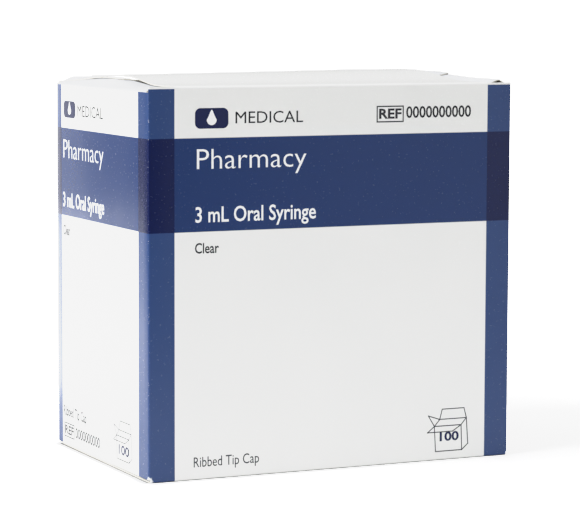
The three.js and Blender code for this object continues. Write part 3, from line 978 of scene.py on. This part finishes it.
def barrelShape(steps):
    plan = syringePlan
    outer, bore, lumen = plan["barrelRadius"], plan["boreRadius"], plan["lumen"]
    start, end, shoulder, tip = plan["flangeStart"], plan["flangeEnd"], plan["shoulder"], plan["tipEnd"]
    bm = revolve([
        (start, outer), (end, outer), (shoulder - 1.0, outer), (shoulder - 0.3, outer - 0.3),
        (shoulder, outer - 1.0), (shoulder, 2.9), (shoulder + 0.6, 2.35), (tip - 0.5, 2.05), (tip, 1.7),
        (tip, lumen), (shoulder - 0.8, lumen), (shoulder - 1.2, bore - 0.5), (shoulder - 1.6, bore),
        (start + 0.6, bore), (start, bore + 0.45)], steps)
    band = [face for face in bm.faces
            if all(v.co.yz.length > outer - 0.01 and start - 0.01 < v.co.x < end + 0.01
                   for v in face.verts)]
    grown = bmesh.ops.extrude_face_region(bm, geom=band)["geom"]
    rim = vertsOf(grown)
    for vert in rim:
        direction = vert.co.yz.normalized()
        reach = min(plan["flangeHalfWidth"], plan["flangeHalfHeight"] / max(abs(direction.y), 0.001))
        vert.co.y, vert.co.z = direction * reach
    if steps > plan["rowSteps"]:
        edges = [edge for edge in bm.edges
                 if all(v in rim for v in edge.verts)
                 and abs(edge.verts[0].co.x - edge.verts[1].co.x) < 0.01]
        bmesh.ops.bevel(bm, geom=edges, offset=0.4, segments=3, affect="EDGES", profile=0.5,
                        material=-1)
    bmesh.ops.recalc_face_normals(bm, faces=bm.faces)
    return bm


def rodShape(steps):
    bm = bmesh.new()
    bmesh.ops.create_grid(bm, x_segments=3, y_segments=3, size=0.5)
    for vert in bm.verts:  # the grid's nine cells become a cross with thin arms
        y, z = (math.copysign(0.6 if abs(value) < 0.3 else 3.75, value) for value in vert.co.xy)
        vert.co = (1.5, y, z)
    corners = [face for face in bm.faces if all(abs(value) > 1 for value in face.calc_center_median().yz)]
    bmesh.ops.delete(bm, geom=corners, context="FACES")
    run = bmesh.ops.extrude_face_region(bm, geom=bm.faces[:])["geom"]
    far = vertsOf(run)
    bmesh.ops.translate(bm, vec=(64.8, 0, 0), verts=far)
    bmesh.ops.scale(bm, vec=(1, 0.94, 0.94), verts=far)
    bmesh.ops.recalc_face_normals(bm, faces=bm.faces)
    thumb = [(0.3, 0)]
    for ridge in (1.3, 2.5, 3.7, 4.9):  # raised rings that the thumb grips
        thumb += [(0.3, ridge - 0.3), (0, ridge), (0, ridge + 0.15), (0.3, ridge + 0.45)]
    thumb += [(0.1, 5.8), (0.35, 6.3), (1.0, 6.38), (1.7, 6.2), (2.0, 5.9), (2.0, 0)]
    if steps <= syringePlan["rowSteps"]:
        thumb = [(0, 0), (0, 6.0), (0.5, 6.38), (1.6, 6.3), (2.0, 0)]
    shapes = [bm, revolve(thumb, steps)]
    shapes.append(revolve([(65.6, 0), (65.6, 3.6), (65.9, 3.85), (67.0, 3.85), (67.0, 1.7), (69.8, 2.0),
                           (70.2, 1.7), (70.2, 0)], steps // 2))
    if steps > syringePlan["rowSteps"]:
        for station in (17.0, 33.0, 49.0):  # stiffening discs between the arms
            end = station + 0.9
            shapes.append(revolve([(station, 0), (station, 3.6), (end, 3.6), (end, 0)], 24))
    return joinShapes(shapes)


def sealShape(steps):
    bore = syringePlan["boreRadius"] - 0.06
    return revolve([
        (70.5, 0), (70.5, 2.3), (67.4, 2.3), (67.35, bore - 0.3), (67.7, bore), (68.5, bore),
        (69.0, bore - 0.4), (69.9, bore - 0.45), (70.4, bore - 0.1), (70.9, bore - 0.1),
        (71.3, bore - 0.45), (71.8, bore - 0.4), (72.2, bore), (72.8, bore), (73.2, bore - 0.5),
        (73.4, 0)], steps)


def capShape(steps):
    start, end = syringePlan["capStart"], syringePlan["capEnd"]
    bm = revolve([
        (end, 0), (end, 2.4), (end - 0.6, 3.3), (end - 2.0, 3.75), (start + 1.4, 3.95), (start + 1.1, 4.05),
        (start, 4.05), (start, 2.9), (start + 0.4, 2.55), (end - 2.2, 2.35), (end - 2.2, 0)], steps)
    for vert in bm.verts:
        reach = vert.co.yz.length
        ribbed = ease((vert.co.x - start - 1.2) / 0.2) * (1 - ease((vert.co.x - end + 2.1) / 1.6))
        if reach > 3 and ribbed > 0:
            wave = math.cos(syringePlan["capRibs"] * math.atan2(vert.co.z, vert.co.y))
            cut = syringePlan["capRibDepth"] * ribbed * clamp(0.5 - wave * 1.4)
            vert.co.y *= 1 - cut / reach
            vert.co.z *= 1 - cut / reach
    return bm


def wrapRound(bm, thickness):  # lays flat shapes, station along X and arc along Y, on the barrel's top
    radius = syringePlan["barrelRadius"] + 0.01
    film = bmesh.ops.extrude_face_region(bm, geom=bm.faces[:])["geom"]
    bmesh.ops.translate(bm, vec=(0, 0, thickness), verts=vertsOf(film))
    bmesh.ops.recalc_face_normals(bm, faces=bm.faces)
    for vert in bm.verts:
        angle = vert.co.y / radius
        reach = radius + vert.co.z
        vert.co.y, vert.co.z = reach * math.sin(angle), reach * math.cos(angle)
    return bm


def scaleShape():  # tenths of a millilitre, with a long line and a figure at each whole one
    ticks = bmesh.new()
    for tenth in range(0, 31):
        long = 2.6 if tenth % 5 == 0 else 1.5
        station = syringePlan["sealFront"] - tenth * syringePlan["millilitre"] / 10
        tick = bmesh.ops.create_grid(ticks, x_segments=1, y_segments=8, size=0.5)["verts"]
        bmesh.ops.scale(ticks, vec=(0.28 if tenth % 5 == 0 else 0.2, long, 1), verts=tick)
        bmesh.ops.translate(ticks, vec=(station, long / 2 - 0.4, 0), verts=tick)
    shapes = [wrapRound(ticks, 0.012)]
    for millilitre, text in ((1, "1"), (2, "2"), (3, "3 mL")):
        station = syringePlan["sealFront"] - millilitre * syringePlan["millilitre"]
        width = 1.3 * len(text)
        figure = wordShapes(text, -width / 2, width / 2, -1.1, 2.2, 0.01)
        bmesh.ops.subdivide_edges(figure, edges=figure.edges[:], cuts=1)
        quarter = Matrix.Rotation(math.radians(-90), 4, "Z")
        bmesh.ops.transform(figure, matrix=quarter, verts=figure.verts)
        bmesh.ops.translate(figure, vec=(station, -0.9 - width / 2, 0), verts=figure.verts)
        shapes.append(wrapRound(figure, 0.012))
    return joinShapes(shapes)


makers = {"barrel": barrelShape, "rod": rodShape, "seal": sealShape, "cap": capShape}
nodeNames = {"barrel": "barrel_", "rod": "plunger_rod_", "seal": "piston_seal_", "cap": "tip_cap_"}

# The top layer: six syringes, head to tail, each piece standing for one CAD node
topCount = sum(name.startswith("barrel_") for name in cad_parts)
for number in range(1, topCount + 1):
    low, high = nodeBox(f"barrel_{number}")
    turned = nodeBox(f"tip_cap_{number}")[0].x < low.x  # its cap is on the left
    start = high.x + syringePlan["flangeStart"] if turned else low.x - syringePlan["flangeStart"]
    place = Matrix.Translation((start, (low.y + high.y) / 2, (low.z + high.z) / 2))
    if turned:
        place = place @ Matrix.Rotation(math.pi, 4, "Z")
    plunger = f"plunger_{number}"
    bodies = {"barrel": "carton", "rod": plunger, "seal": plunger, "cap": f"cap_{number}"}
    for kind, maker in makers.items():
        bm = maker(syringePlan["topSteps"])
        bmesh.ops.transform(bm, matrix=place, verts=bm.verts)
        piece = makePiece(f"syringe_{kind}_{number}", bm, [finishes[kind]])
        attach(piece, bodies[kind])
        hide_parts(nodeNames[kind] + str(number))
    bm = scaleShape()
    bmesh.ops.transform(bm, matrix=place, verts=bm.verts)
    scale = makePiece(f"syringe_scale_{number}", bm, [finishes["scale"]])
    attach(scale, "carton")
print("top layer of syringes laid")

rowPlan = {"pitch": 13.7, "middle": 44.0}  # the middle of a syringe's length lies over the carton's middle

simpleParts = {}
for kind, maker in makers.items():
    simple = maker(syringePlan["rowCapSteps" if kind == "cap" else "rowSteps"])
    mesh = bpy.data.meshes.new("simple_" + kind)
    simple.to_mesh(mesh)
    simple.free()
    simpleParts[kind] = mesh

rowCount = sum(name.startswith("syringe_row_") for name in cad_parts)
for row in range(1, rowCount + 1):
    low, high = nodeBox(f"syringe_row_{row}")
    count = round((high.x - low.x) / rowPlan["pitch"] - 0.3)
    axis = (low.z + high.z) / 2
    for kind, mesh in simpleParts.items():
        bm = bmesh.new()
        for i in range(count):
            before = len(bm.verts)
            bm.from_mesh(mesh)
            bm.verts.ensure_lookup_table()
            quarter = Matrix.Rotation(math.radians(-90 if i % 2 else 90), 4, "Z")
            place = Matrix.Translation(((i - (count - 1) / 2) * rowPlan["pitch"], 0, axis)) @ quarter
            place = place @ Matrix.Translation((-rowPlan["middle"], 0, 0))
            bmesh.ops.transform(bm, matrix=place, verts=bm.verts[before:])
        piece = makePiece(f"row_{row}_{kind}s", bm, [finishes[kind]])
        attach(piece, "carton")
        if kind == "barrel":
            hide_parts(f"syringe_row_{row}")
print("lower rows of syringes packed")
